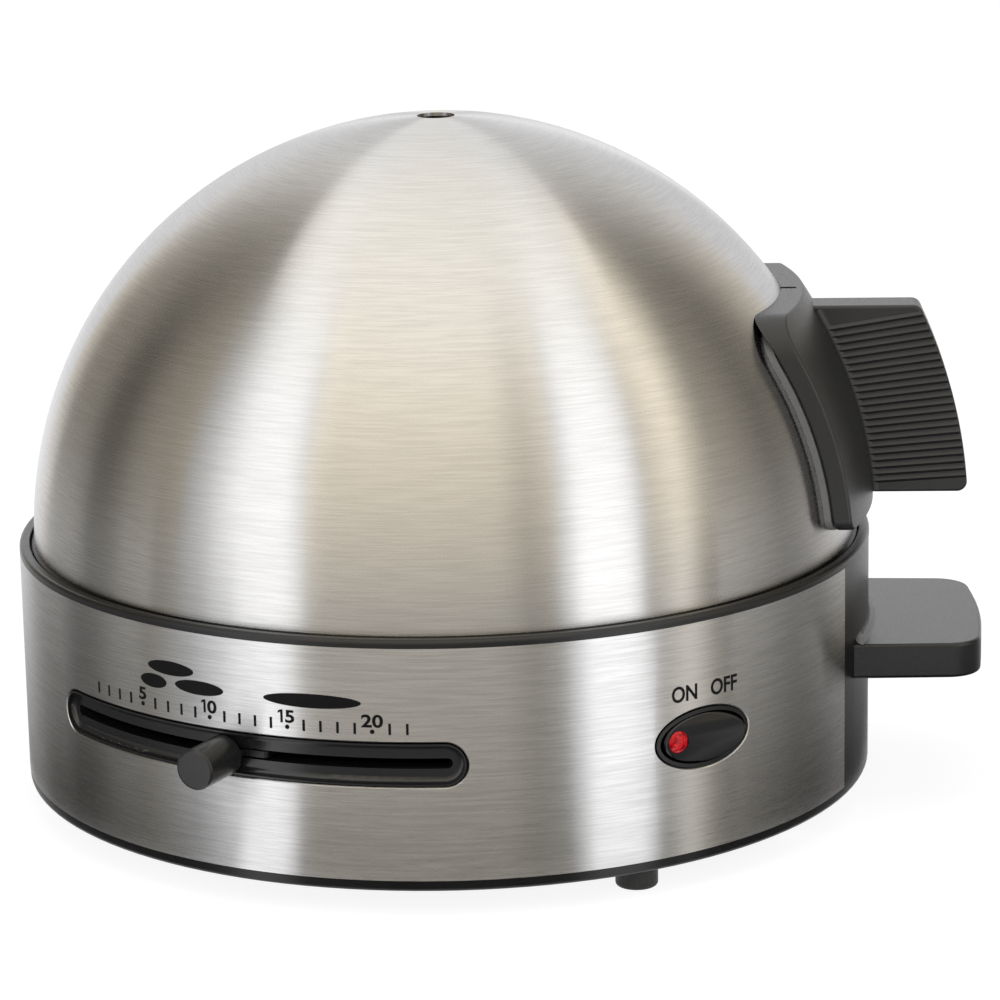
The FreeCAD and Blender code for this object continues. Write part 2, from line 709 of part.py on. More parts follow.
def clamp_spider():
    """Pressed three-armed plate that pulls the pan down: its feet press up under the housing's ledge."""
    top = spider_top()
    low = top - SPIDER_SHEET
    under_ledge = LEDGE_TOP - LEDGE_THICKNESS
    riser_r = LEDGE_R + 2.0
    section = [
        (20, low, 0),
        (riser_r + SPIDER_SHEET, low, 2.5),
        (riser_r + SPIDER_SHEET, under_ledge - SPIDER_SHEET, 0),
        (WALL_INNER_R - 1.5, under_ledge - SPIDER_SHEET, 0),
        (WALL_INNER_R - 1.5, under_ledge, 0),
        (riser_r, under_ledge, 0),
        (riser_r, top, 1.0),
        (20, top, 0),
    ]
    arm = Part.Face(rounded_wire(section, lambda r, z: FreeCAD.Vector(-SPIDER_ARM / 2, -r, z)))
    arm = arm.extrude(FreeCAD.Vector(SPIDER_ARM, 0, 0))
    spider = ring(12, SPIDER_R, low, top).fuse(round_about(arm, SPIDER_BEARINGS).Solids)
    return spider.cut(stud_rods(STUD_R, low - 1, top + 1)).removeSplitter()


def pan_studs():
    return Part.makeCompound(stud_rods(STUD_R, spider_top() - SPIDER_SHEET - 4, PAN_FLOOR - PAN_SHEET))


def pan_nuts():
    top = spider_top() - SPIDER_SHEET
    corners = [(4.0 * math.cos(math.radians(60 * i)), 4.0 * math.sin(math.radians(60 * i)) - STUD_CIRCLE, 0)
               for i in range(6)]
    nut = plate(corners, top - 3, top).cut(post(0, -STUD_CIRCLE, STUD_R, top - 5, top + 1))
    return round_about(nut, (30, 150, 270))


def thermostat():
    """Bimetal disc switch against the spreader, with two blade terminals."""
    top = spreader_bottom()
    body = post(0, 0, 8, top - 7, top)
    cap = post(0, 0, 6.5, top - 9, top - 7)
    blades = [Part.makeBox(0.8, 5, 4, FreeCAD.Vector(x - 0.4, -2.5, top - 13)) for x in (-4, 4)]
    return body.fuse([cap, *blades]).removeSplitter()


def thermal_fuse():
    """Small axial fuse in a saddle clip under the spreader."""
    z = spreader_bottom() - 2.2
    axis_x = FreeCAD.Vector(1, 0, 0)
    body = Part.makeCylinder(2.2, 11, FreeCAD.Vector(-5.5, 20, z), axis_x)
    leads = [Part.makeCylinder(0.6, 6, FreeCAD.Vector(x, 20, z), axis_x) for x in (-11.5, 5.5)]
    return body.fuse(leads)


def vent_slots():
    """Rows of cooling slots in the bottom cover."""
    slot = plate([(-12, -1.2, 1.1), (12, -1.2, 1.1), (12, 1.2, 1.1), (-12, 1.2, 1.1)], 0, 20)
    slots = []
    for i in range(7):
        copy = slot.copy()
        copy.translate(FreeCAD.Vector(0, 30 + 6 * i, 0))
        slots.append(copy)
    return slots


def board_holes():
    x = BOARD_X - BOARD_HOLE_INSET
    front = BOARD_FRONT + BOARD_HOLE_INSET
    back = BOARD_BACK - BOARD_HOLE_INSET
    return [(-x, front), (x, front), (x, back), (-x, back)]


def base_plate():
    """Bottom cover with posts for the timer board, feet holes and cooling slots."""
    cover = turned([
        (0, PLATE_BOTTOM, 0),
        (WALL_INNER_R - 0.1, PLATE_BOTTOM, 0.5),
        (WALL_INNER_R - 0.1, PLATE_TOP, 0),
        (0, PLATE_TOP, 0),
    ])
    posts = [post(x, y, 4, PLATE_TOP - 0.5, BOARD_BOTTOM) for x, y in board_holes()]
    pilots = [post(x, y, 1.2, PLATE_TOP, BOARD_TOP) for x, y in board_holes()]
    stems = round_about(post(0, -FOOT_CIRCLE, 2.5, 0, 20), FOOT_BEARINGS).Solids
    screws = round_about(post(0, -BOSS_CIRCLE, SCREW_R, 0, 20), BOSS_BEARINGS).Solids
    return cover.fuse(posts).cut(pilots + stems + screws + vent_slots()).removeSplitter()


def feet():
    """Rubber feet pushed through the bottom cover and held by their heads."""
    foot = turned([
        (0, 0, 0),
        (FOOT_R, 0, 0.8),
        (FOOT_R, PLATE_BOTTOM, 0),
        (2.5, PLATE_BOTTOM, 0),
        (2.5, PLATE_TOP, 0),
        (3.4, PLATE_TOP, 0),
        (2.2, PLATE_TOP + 2, 0),
        (0, PLATE_TOP + 2, 0),
    ])
    foot.translate(FreeCAD.Vector(0, -FOOT_CIRCLE, 0))
    return round_about(foot, FOOT_BEARINGS)


def headed_screw(x, y, radius, seat, tip, head_r, head_height):
    """Pan-head screw whose head lies on the seat, on the side away from the tip."""
    outward = 1 if seat > tip else -1
    shank = post(x, y, radius, min(seat, tip), max(seat, tip))
    head_end = seat + outward * head_height
    return shank.fuse(post(x, y, head_r, min(seat, head_end), max(seat, head_end))).removeSplitter()


def base_screws():
    screw = headed_screw(0, -BOSS_CIRCLE, SCREW_R, PLATE_BOTTOM, BOSS_TOP - 4, 2.9, 1.8)
    return round_about(screw, BOSS_BEARINGS)


def board_screws():
    screws = [headed_screw(x, y, 1.2, BOARD_TOP, PLATE_TOP, 2.5, 1.6) for x, y in board_holes()]
    return Part.makeCompound(screws)


def control_board():
    corners = [(-BOARD_X, BOARD_FRONT, 2), (BOARD_X, BOARD_FRONT, 2), (BOARD_X, BOARD_BACK, 2),
               (-BOARD_X, BOARD_BACK, 2)]
    board = plate(corners, BOARD_BOTTOM, BOARD_TOP)
    return board.cut([post(x, y, 1.2, 0, 30) for x, y in board_holes()])


def relay():
    corners = [(14, -38, 0.6), (32, -38, 0.6), (32, -24, 0.6), (14, -24, 0.6)]
    return plate(corners, BOARD_TOP, BOARD_TOP + 9.5)


def buzzer():
    can = turned([(0, BOARD_TOP, 0), (6, BOARD_TOP, 0), (6, BOARD_TOP + 8, 0.8), (0, BOARD_TOP + 8, 0)])
    can = can.cut(post(0, 0, 1.0, BOARD_TOP + 5, BOARD_TOP + 10))
    can.translate(FreeCAD.Vector(-24, -30, 0))
    return can


def film_capacitor():
    corners = [(16, 2, 1), (34, 2, 1), (34, 9, 1), (16, 9, 1)]
    return plate(corners, BOARD_TOP, BOARD_TOP + 9)


def potentiometer():
    """Rotary control on the board, with the threaded bush that guides its shaft."""
    body = turned([(0, BOARD_TOP, 0), (POT_R, BOARD_TOP, 0), (POT_R, POT_TOP, 0.6), (4.2, POT_TOP, 0),
                   (4.2, POT_TOP + 2, 0), (0, POT_TOP + 2, 0)])
    return body.cut(post(0, 0, SHAFT_R + 0.05, BOARD_TOP + 2, 60))


def potentiometer_shaft():
    return post(0, 0, SHAFT_R, BOARD_TOP + 2.2, ARM_BOTTOM + 3.8)


def foot_top():
    """Height of the arm's raised end, on which the knob's blade lies."""
    return SLOT_Z - BLADE_HEIGHT / 2


def slider_arm():
    """Cranked steel arm from the timer shaft out to the knob."""
    raised = foot_top()
    section = [
        (0, ARM_BOTTOM, 0),
        (ARM_BEND_R + ARM_SHEET, ARM_BOTTOM, 2.5),
        (ARM_BEND_R + ARM_SHEET, raised - ARM_SHEET, 0.5),
        (ARM_END_R, raised - ARM_SHEET, 0),
        (ARM_END_R, raised, 0),
        (ARM_BEND_R, raised, 2.5),
        (ARM_BEND_R, ARM_BOTTOM + ARM_SHEET, 0.5),
        (0, ARM_BOTTOM + ARM_SHEET, 0),
    ]
    arm = Part.Face(rounded_wire(section, lambda r, z: FreeCAD.Vector(-ARM_WIDTH / 2, -r, z)))
    arm = arm.extrude(FreeCAD.Vector(ARM_WIDTH, 0, 0))
    hub = post(0, 0, 7, ARM_BOTTOM - 0.7, ARM_BOTTOM + 3.8)
    arm = arm.fuse(hub).cut([post(0, 0, SHAFT_R, 0, 60), post(0, -KNOB_SCREW_CIRCLE, KNOB_SCREW_R, 0, 60)])
    return turn_to(KNOB_BEARING, arm).removeSplitter()


def slider_knob():
    """Round push knob on a short neck and stem, with the blade that runs in the slot."""
    knob = radial_rod(KNOB_R, KNOB_BASE_R, KNOB_TIP_R, KNOB_Z)
    knob = knob.makeFillet(KNOB_EDGE, edges_near(knob, lambda c: c.y < 0.1 - KNOB_TIP_R))
    low = foot_top()
    high = low + BLADE_HEIGHT
    blade = sector(BLADE_ROOT_R, BLADE_TIP_R, low, high, BLADE_FROM, BLADE_TO)
    tips = edges_near(blade, lambda c: abs(c.z - SLOT_Z) < 0.01 and math.hypot(c.x, c.y) > BLADE_TIP_R - 0.01)
    blade = blade.makeFillet(BLADE_CORNER, tips)
    stem = sector(BLADE_TIP_R - 1, KNOB_ROOT_R + 0.5, low, high, -KNOB_STEM_HALF, KNOB_STEM_HALF)
    neck = radial_rod(KNOB_NECK_R, KNOB_ROOT_R, KNOB_BASE_R + 0.5, KNOB_Z)
    knob = knob.fuse([neck, blade, stem]).cut(post(0, -KNOB_SCREW_CIRCLE, KNOB_SCREW_R, 0, 60))
    return turn_to(KNOB_BEARING, knob.removeSplitter())


def slider_screw():
    seat = foot_top() + BLADE_HEIGHT
    tip = foot_top() - ARM_SHEET - 1
    return turn_to(KNOB_BEARING, headed_screw(0, -KNOB_SCREW_CIRCLE, KNOB_SCREW_R, seat, tip, 2.0, 1.2))


def slider_bezel():
    """Coved track behind the band's long window, with the slot that guides the knob's blade."""
    lip_r = BASE_R + 0.05
    track = slider_window(TRACK_BACK_R, lip_r, -SLIDER_GAP)
    flange = slider_window(TRACK_BACK_R, WALL_INNER_R, 2.0)
    track = track.fuse(flange).removeSplitter()
    recess = slider_window(TRACK_FLOOR_R, BASE_R + 2, -SLIDER_GAP - TRACK_LIP)
    floor = [edge for edge in recess.Edges
             if all(abs(math.hypot(v.X, v.Y) - TRACK_FLOOR_R) < 0.01 for v in edge.Vertexes)
             and edge.Length > 0.1]
    recess = recess.makeFillet(TRACK_COVE, floor)
    slot = window(TRACK_BACK_R - 2, TRACK_FLOOR_R + 1, SLOT_FROM, SLOT_TO, SLOT_Z,
                  SLOT_HEIGHT, SLOT_HEIGHT / 2)
    return track.cut([recess, slot])


def switch_bezel():
    """Oval well of the switch, held by a flange behind the wall and bored for the rocker's trunnions."""
    half_width = SWITCH_HALF_WIDTH - SWITCH_GAP
    half_height = SWITCH_HALF_HEIGHT - SWITCH_GAP
    sleeve = oval(half_width, half_height, WELL_BACK_R, BASE_R + 3, SWITCH_Z)
    sleeve = sleeve.common(Part.makeCylinder(BASE_R + 0.05, 100))
    flange = oval(SWITCH_HALF_WIDTH + 2.4, SWITCH_HALF_HEIGHT + 2.4, WELL_BACK_R, BASE_R, SWITCH_Z)
    flange = flange.common(Part.makeCylinder(WALL_INNER_R, 100))
    well = oval(half_width - WELL_WALL, half_height - WELL_WALL, 80, 110, SWITCH_Z)
    reach = SWITCH_HALF_HEIGHT + 1
    bores = post(0, -ROCKER_PIVOT_R, TRUNNION_R + 0.05, SWITCH_Z - reach, SWITCH_Z + reach)
    return turn_to(SWITCH_BEARING, sleeve.fuse(flange).cut([well, bores]).removeSplitter())


def switch_body():
    """Contact box of the switch behind its well."""
    front = -WELL_BACK_R
    back = front + SWITCH_BODY_DEPTH
    half = SWITCH_HALF_HEIGHT - 1.0
    corners = [(-11, front, 0), (11, front, 0), (10, back, 1), (-10, back, 1)]
    return turn_to(SWITCH_BEARING, plate(corners, SWITCH_Z - half, SWITCH_Z + half))


def switch_terminals():
    """Three blade terminals at the back of the contact box."""
    back = SWITCH_BODY_DEPTH - WELL_BACK_R
    blades = [Part.makeBox(0.8, 7, 4.8, FreeCAD.Vector(x - 0.4, back, SWITCH_Z - 2.4)) for x in (-7, 0, 7)]
    return turn_to(SWITCH_BEARING, Part.makeCompound(blades))


def to_switch(piece):
    """Tilts a rocker piece, drawn level, to its on position and turns it to the switch."""
    piece = piece.copy()
    piece.rotate(FreeCAD.Vector(0, -ROCKER_PIVOT_R, 0), AXIS, -ROCKER_TILT)
    return turn_to(SWITCH_BEARING, piece)


def rocker_crown():
    """Level bar whose front is the rocker's crowned face."""
    start = FreeCAD.Vector(-20, ROCKER_CROWN_R - ROCKER_FACE_R, SWITCH_Z)
    return Part.makeCylinder(ROCKER_CROWN_R, 40, start, FreeCAD.Vector(1, 0, 0))


def lens_seat():
    return radial_rod(LENS_R, LENS_SEAT_R, BASE_R + 5, SWITCH_Z + LENS_RISE, LENS_X)


def switch_rocker():
    """Crowned oval rocker with a trunnion above and below."""
    rocker = oval(ROCKER_HALF_WIDTH, ROCKER_HALF_HEIGHT, ROCKER_BACK_R, BASE_R + 5, SWITCH_Z)
    rocker = rocker.common(rocker_crown())
    face = edges_near(rocker, lambda c: c.y < -ROCKER_PIVOT_R)
    rocker = rocker.makeFillet(ROCKER_EDGE, face)
    reach = SWITCH_HALF_HEIGHT - SWITCH_GAP - 0.15
    pin = post(0, -ROCKER_PIVOT_R, TRUNNION_R, SWITCH_Z - reach, SWITCH_Z + reach)
    return to_switch(rocker.fuse(pin).cut(lens_seat()))


def switch_lens():
    """Domed red lens that shows the lamp in the rocker."""
    z = SWITCH_Z + LENS_RISE
    dome = Part.makeSphere(LENS_DOME_R, FreeCAD.Vector(LENS_X, LENS_DOME_R - LENS_PROUD - ROCKER_FACE_R, z))
    base = radial_rod(LENS_R, LENS_SEAT_R, LENS_SEAT_R + 1, z, LENS_X)
    return to_switch(lens_seat().common(dome).fuse(base).removeSplitter())


def terminal_block():
    """Two-way block on the bottom cover for the supply cord."""
    corners = [(-16, 68, 1), (-2, 68, 1), (-2, 80, 1), (-16, 80, 1)]
    block = plate(corners, PLATE_TOP, PLATE_TOP + 9)
    wells = [post(x, 74, 1.8, PLATE_TOP + 4, PLATE_TOP + 12) for x in (-12, -6)]
    return block.cut(wells)


def cord_gland():
    """Bush in the back wall that the supply cord passes through."""
    outside = Part.makeCylinder(BASE_R, 100)
    flange = radial_rod(GLAND_FLANGE_R, BASE_R - 2, BASE_R + 2, GLAND_Z).cut(outside)
    barrel = radial_rod(GLAND_BODY_R, WALL_INNER_R - 4, BASE_R + 1, GLAND_Z)
    nut = radial_rod(GLAND_FLANGE_R, WALL_INNER_R - 3, BASE_R, GLAND_Z)
    nut = nut.common(Part.makeCylinder(WALL_INNER_R, 100))
    gland = barrel.fuse([flange, nut]).cut(radial_rod(GLAND_BORE_R, 80, 110, GLAND_Z))
    return turn_to(180, gland.removeSplitter())


os.makedirs("parts", exist_ok=True)
for piece in (
    lid_dome, lid_handle, lid_handle_spacer, lid_handle_screws, lid_handle_washers,
    egg_rack,
    base_housing, steel_band, base_plate, base_screws, feet,
    water_pan, pan_seal, heat_spreader, heating_element, clamp_spider, pan_studs, pan_nuts,
    thermostat, thermal_fuse,
    control_board, board_screws, relay, buzzer, film_capacitor, potentiometer,
    slider_bezel, slider_arm, slider_knob, slider_screw, potentiometer_shaft,
    switch_bezel, switch_body, switch_terminals, switch_rocker, switch_lens,
    terminal_block, cord_gland,
):
    save(piece.__name__, piece())
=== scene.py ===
import math

import bpy
from mathutils import Matrix, Vector


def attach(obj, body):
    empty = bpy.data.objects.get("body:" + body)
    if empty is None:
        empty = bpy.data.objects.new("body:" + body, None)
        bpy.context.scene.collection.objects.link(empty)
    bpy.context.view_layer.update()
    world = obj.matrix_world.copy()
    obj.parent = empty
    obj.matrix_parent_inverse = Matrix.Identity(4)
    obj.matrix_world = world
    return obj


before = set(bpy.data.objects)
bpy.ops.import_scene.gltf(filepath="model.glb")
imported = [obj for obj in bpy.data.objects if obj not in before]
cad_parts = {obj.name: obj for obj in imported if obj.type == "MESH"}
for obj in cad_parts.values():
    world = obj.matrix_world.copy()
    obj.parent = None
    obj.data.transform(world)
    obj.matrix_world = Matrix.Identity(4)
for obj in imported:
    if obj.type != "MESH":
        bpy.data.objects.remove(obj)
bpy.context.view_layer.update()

# Camera: it stands a little to the right of the front and looks down on the cooker through a long lens,
# so the band's ring shows as a shallow ellipse and the handles in profile.
CAMERA_PLACE = (0.05575, -0.8740, 0.28723)
CAMERA_HEADING = math.radians(2.831)
CAMERA_DIP = math.radians(14.309)
CAMERA_ROLL = math.radians(-1.043)
SENSOR_WIDTH = 36.0
FOCAL_LENGTH = 144.99
bpy.ops.object.select_all(action="DESELECT")
bpy.ops.object.camera_add()
camera = bpy.context.object
camera.name = "camera"
camera.data.sensor_width = SENSOR_WIDTH
camera.data.lens = FOCAL_LENGTH
turn = Matrix.Rotation(CAMERA_HEADING, 4, "Z")
tilt = Matrix.Rotation(math.pi / 2 - CAMERA_DIP, 4, "X")
roll = Matrix.Rotation(CAMERA_ROLL, 4, "Z")
camera.matrix_world = Matrix.Translation(CAMERA_PLACE) @ turn @ tilt @ roll
bpy.context.scene.camera = camera
bpy.context.scene.view_settings.view_transform = "Standard"

# Floor: a wide sheet of white studio paper. It stays near white to the eye and in the steel, and
# darkens a little where the cooker shades it.
FLOOR_SIZE = 9.0
PAPER_WHITE = (0.86, 0.86, 0.86, 1)
PAPER_ROUGHNESS = 0.9
PAPER_GLOW = 1.23
GLOW_SHARE = 0.72


def blank_material(name):
    material = bpy.data.materials.new(name)
    material.use_nodes = True
    return material, material.node_tree.nodes, material.node_tree.links


def seen_rays(nodes, links):
    """1 for what is seen, straight, mirrored or through something clear, 0 for light on the object."""
    path = nodes.new("ShaderNodeLightPath")
    both = nodes.new("ShaderNodeMath")
    both.operation = "MAXIMUM"
    links.new(path.outputs["Is Camera Ray"], both.inputs[0])
    links.new(path.outputs["Is Glossy Ray"], both.inputs[1])
    every = nodes.new("ShaderNodeMath")
    every.operation = "MAXIMUM"
    links.new(both.outputs[0], every.inputs[0])
    links.new(path.outputs["Is Transmission Ray"], every.inputs[1])
    return every.outputs[0]


bpy.ops.object.select_all(action="DESELECT")
bpy.ops.mesh.primitive_plane_add(size=FLOOR_SIZE, location=(0, 0, 0))
floor = bpy.context.object
floor.name = "floor"
paper, nodes, links = blank_material("studio_paper")
sheet = nodes["Principled BSDF"]
sheet.inputs["Base Color"].default_value = PAPER_WHITE
sheet.inputs["Roughness"].default_value = PAPER_ROUGHNESS
sheet.inputs["Specular IOR Level"].default_value = 0.0
glow = nodes.new("ShaderNodeEmission")
glow.inputs["Color"].default_value = (1, 1, 1, 1)
glow.inputs["Strength"].default_value = PAPER_GLOW
share = nodes.new("ShaderNodeMath")
share.operation = "MULTIPLY"
share.inputs[1].default_value = GLOW_SHARE
links.new(seen_rays(nodes, links), share.inputs[0])
blend = nodes.new("ShaderNodeMixShader")
links.new(share.outputs[0], blend.inputs[0])
links.new(sheet.outputs[0], blend.inputs[1])
links.new(glow.outputs[0], blend.inputs[2])
links.new(blend.outputs[0], nodes["Material Output"].inputs["Surface"])
floor.data.materials.append(paper)

# Light: two upright softboxes left and right of the camera and a large one overhead, in a pale room.
# What the steel mirrors of them is set up apart, by the reflectors of the next section.
ROOM_LIGHT = 0.45
ROOM_WHITE = 1.0
LAMP_POWER = 4.0
LAMP_AIM = Vector((0, 0, 0.07))
world = bpy.data.worlds.new("pale_room")
bpy.context.scene.world = world
world.use_nodes = True
nodes, links = world.node_tree.nodes, world.node_tree.links
level = nodes.new("ShaderNodeMapRange")
level.inputs["To Min"].default_value = ROOM_LIGHT
level.inputs["To Max"].default_value = ROOM_WHITE
links.new(seen_rays(nodes, links), level.inputs["Value"])
nodes["Background"].inputs["Color"].default_value = (1, 1, 1, 1)
links.new(level.outputs["Result"], nodes["Background"].inputs["Strength"])


def softbox(name, bearing, distance, height, width, tall):
    bpy.ops.object.select_all(action="DESELECT")
    bpy.ops.object.light_add(type="AREA")
    lamp = bpy.context.object
    lamp.name = name
    lamp.data.shape = "RECTANGLE"
    lamp.data.size = width
    lamp.data.size_y = tall
    lamp.data.energy = LAMP_POWER
    angle = math.radians(bearing)
    place = Vector((distance * math.sin(angle), -distance * math.cos(angle), height))
    aim = LAMP_AIM - place
    lamp.matrix_world = Matrix.Translation(place) @ aim.to_track_quat("-Z", "Y").to_matrix().to_4x4()
    lamp.visible_glossy = False


softbox("softbox_left", bearing=-50, distance=1.25, height=0.62, width=0.55, tall=1.1)
softbox("softbox_right", bearing=46, distance=1.25, height=0.62, width=0.55, tall=1.1)
softbox("softbox_overhead", bearing=0, distance=0.12, height=1.5, width=1.1, tall=1.1)

# Reflectors: upright studio panels whose foot runs over the floor up to the cooker. Only glossy faces
# see them: two softbox fronts draw the bright fans on the steel, warm paper and dark flags the rest.
CAMERA_BEARING = 3.65
COOKER_REACH = 0.1
FLOOR_CLEARANCE = 0.0015
WALL_DISTANCE = 2.6
WALL_TOP = 4.0
WARM = (1.0, 0.905, 0.745)
COOL = (0.98, 0.985, 1.0)
FLOOR_TINT = (1.0, 0.988, 0.975)
CEILING_TINT = (1.0, 0.97, 0.9)
PLAIN_CONTRAST = (1.0, 1.0, 1.0, 1.0)
LEFT_CONTRAST = (4.0, 1.0, 1.0, 1.0)
RIGHT_CONTRAST = (4.0, 1.5, 1.0, 1.0)
BACK_CONTRAST = (2.0, 0.42, 0.7, 1.0)
FRONT_NEAR = 0.12
BACK_NEAR = 0.36


def light_up(panel, colours):
    """Gives each vertex its coloured light, and hides the panel from all but glossy faces."""
    light = panel.data.attributes.new("light", "FLOAT_COLOR", "POINT")
    for index, colour in enumerate(colours):
        light.data[index].color = (*colour, 1)
    front, nodes, links = blank_material(panel.name + "_front")
    nodes.remove(nodes["Principled BSDF"])
    shine = nodes.new("ShaderNodeEmission")
    shine.inputs["Strength"].default_value = 1.0
    painted = nodes.new("ShaderNodeAttribute")
    painted.attribute_name = "light"
    links.new(painted.outputs["Color"], shine.inputs["Color"])
    links.new(shine.outputs[0], nodes["Material Output"].inputs["Surface"])
    panel.data.materials.append(front)
    panel.visible_camera = False
    panel.visible_diffuse = False
    panel.visible_shadow = False


def reflector(name, tint, floor_tint, floor_bearings, foot_bearings, top_bearings, levels, rise, contrast,
              near=FRONT_NEAR):
    """Panel across the bearings that the steel mirrors, given on the floor, at the wall's foot and at
    its top; rise scales the light beside the cooker, near it, at the foot and at the top, and contrast
    sharpens or evens out the levels there."""
    rows = ((0.0, 0.0, floor_bearings, floor_tint), (near, 0.0, floor_bearings, floor_tint),
            (WALL_DISTANCE, 0.0, foot_bearings, tint), (WALL_DISTANCE, WALL_TOP, top_bearings, tint))
    columns = len(levels) - 1
    bpy.ops.object.select_all(action="DESELECT")
    bpy.ops.mesh.primitive_grid_add(x_subdivisions=columns, y_subdivisions=len(rows) - 1, size=2.0)
    panel = bpy.context.object
    panel.name = name
    colours = []
    for vertex in panel.data.vertices:
        column = round((vertex.co.x + 1) / 2 * columns)
        row = round((vertex.co.y + 1) / 2 * (len(rows) - 1))
        run, height, bearings, shade = rows[row]
        mirrored = math.radians(bearings[column])
        start = math.radians((floor_bearings[column] + CAMERA_BEARING) / 2)
        x = COOKER_REACH * math.sin(start) + run * math.sin(mirrored)
        y = -COOKER_REACH * math.cos(start) - run * math.cos(mirrored)
        vertex.co = (x, y, height + FLOOR_CLEARANCE)
        colours.append([levels[column] ** contrast[row] * rise[row] * channel for channel in shade])
    light_up(panel, colours)


def flat_reflector(name, tint, level, width, tall, place):
    bpy.ops.object.select_all(action="DESELECT")
    bpy.ops.mesh.primitive_plane_add(size=1.0)
    panel = bpy.context.object
    panel.name = name
    panel.data.transform(place @ Matrix.Diagonal((width, tall, 1, 1)))
    light_up(panel, [[level * channel for channel in tint]] * len(panel.data.vertices))


reflector("front_paper", WARM, FLOOR_TINT,
          floor_bearings=(-37, -31, -24, 0, 19, 28, 36.5),
          foot_bearings=(-34, -28.5, -22, 0, 18, 25, 33),
          top_bearings=(-46, -36, -26, 0, 22, 34, 47),
          levels=(1.3, 1.09, 1.1, 1.08, 1.06, 0.74, 0.98),
          rise=(0.03, 0.42, 0.68, 1.5), contrast=PLAIN_CONTRAST)
reflector("left_softbox_front", COOL, COOL,
          floor_bearings=(-68, -60, -52, -44.5, -37),
          foot_bearings=(-73, -65, -55.5, -40, -34),
          top_bearings=(-87, -79, -69.5, -52, -46),
          levels=(0.55, 0.95, 1.6, 1.6, 0.95),
          rise=(0.2, 1.0, 1.0, 1.0), contrast=LEFT_CONTRAST)
reflector("left_side_paper", WARM, FLOOR_TINT,
          floor_bearings=(-84, -68),
          foot_bearings=(-84, -73),
          top_bearings=(-98, -87),
          levels=(0.36, 0.57),
          rise=(0.2, 1.0, 1.0, 1.0), contrast=LEFT_CONTRAST)
reflector("right_softbox_front", COOL, COOL,
          floor_bearings=(36.5, 43, 55.5, 62),
          foot_bearings=(33, 39.5, 53, 58),
          top_bearings=(47, 53.5, 67, 80),
          levels=(0.85, 1.55, 1.55, 0.84),
          rise=(0.2, 0.95, 1.08, 1.05), contrast=RIGHT_CONTRAST)
reflector("right_side_paper", WARM, FLOOR_TINT,
          floor_bearings=(62, 70, 77, 84),
          foot_bearings=(58, 69.5, 77, 83),
          top_bearings=(80, 97, 112, 118),
          levels=(0.68, 1.24, 0.64, 0.32),
          rise=(0.2, 0.78, 1.05, 1.5), contrast=RIGHT_CONTRAST)
reflector("left_flag", WARM, FLOOR_TINT,
          floor_bearings=(-149, -137, -122, -112, -104, -95, -84),
          foot_bearings=(-149, -137, -122, -112, -104, -95, -84),
          top_bearings=(-153, -142, -127, -118, -111, -105, -98),
          levels=(1.35, 0.27, 0.22, 0.06, 0.08, 0.24, 0.36),
          rise=(0.1, 1.25, 0.78, 1.3), contrast=BACK_CONTRAST, near=BACK_NEAR)
reflector("right_flag", WARM, FLOOR_TINT,
          floor_bearings=(84, 96, 108, 120, 134, 146),
          foot_bearings=(83, 96, 108, 120, 134, 146),
          top_bearings=(118, 122, 126, 132, 142, 152),
          levels=(0.32, 0.2, 0.08, 0.1, 0.42, 0.9),
          rise=(0.1, 1.5, 1.1, 0.98), contrast=BACK_CONTRAST, near=BACK_NEAR)
reflector("left_back_paper", COOL, COOL,
          floor_bearings=(-171, -160, -149),
          foot_bearings=(-171, -160, -149),
          top_bearings=(-173, -166, -153),
          levels=(1.25, 1.45, 1.4),
          rise=(0.1, 1.25, 0.85, 1.0), contrast=BACK_CONTRAST, near=BACK_NEAR)
reflector("right_back_paper", COOL, COOL,
          floor_bearings=(146, 158, 171),
          foot_bearings=(146, 158, 171),
          top_bearings=(152, 164, 173),
          levels=(0.9, 0.95, 0.88),
          rise=(0.1, 1.5, 1.1, 0.98), contrast=BACK_CONTRAST, near=BACK_NEAR)
overhead = Matrix.Translation((0, 0, 4.05))
flat_reflector("ceiling_paper", CEILING_TINT, level=1.38, width=6.0, tall=6.0, place=overhead)
behind = Matrix.Translation((0, 2.7, 1.5)) @ Matrix.Rotation(math.pi / 2, 4, "X")
flat_reflector("back_paper", COOL, level=1.35, width=0.85, tall=2.9, place=behind)

# Bottom cover: a flat black moulding closes the body from below, held by four screws. Its face has
# the fine spark-eroded grain of the tool and is a little cloudy.
TONE_SPAN = (0.35, 0.65)
GLOSS_SPAN = (0.3, 0.7)


def noise(nodes, links, source, scale, detail):
    texture = nodes.new("ShaderNodeTexNoise")
    texture.inputs["Scale"].default_value = scale
    texture.inputs["Detail"].default_value = detail
    links.new(source, texture.inputs["Vector"])
    return texture.outputs["Fac"]


def two_tones(nodes, links, source, dark, pale):
    """Colour that runs from dark to pale with a noise."""
    ramp = nodes.new("ShaderNodeValToRGB")
    ramp.color_ramp.elements[0].position = TONE_SPAN[0]
    ramp.color_ramp.elements[0].color = (*dark, 1)
    ramp.color_ramp.elements[1].position = TONE_SPAN[1]
    ramp.color_ramp.elements[1].color = (*pale, 1)
    links.new(source, ramp.inputs["Fac"])
    return ramp.outputs["Color"]


def between(nodes, links, source, smooth, rough):
    """Roughness that runs from smooth to rough with a noise."""
    spread = nodes.new("ShaderNodeMapRange")
    spread.inputs["From Min"].default_value = GLOSS_SPAN[0]
    spread.inputs["From Max"].default_value = GLOSS_SPAN[1]
    spread.inputs["To Min"].default_value = smooth
    spread.inputs["To Max"].default_value = rough
    links.new(source, spread.inputs["Value"])
    return spread.outputs["Result"]


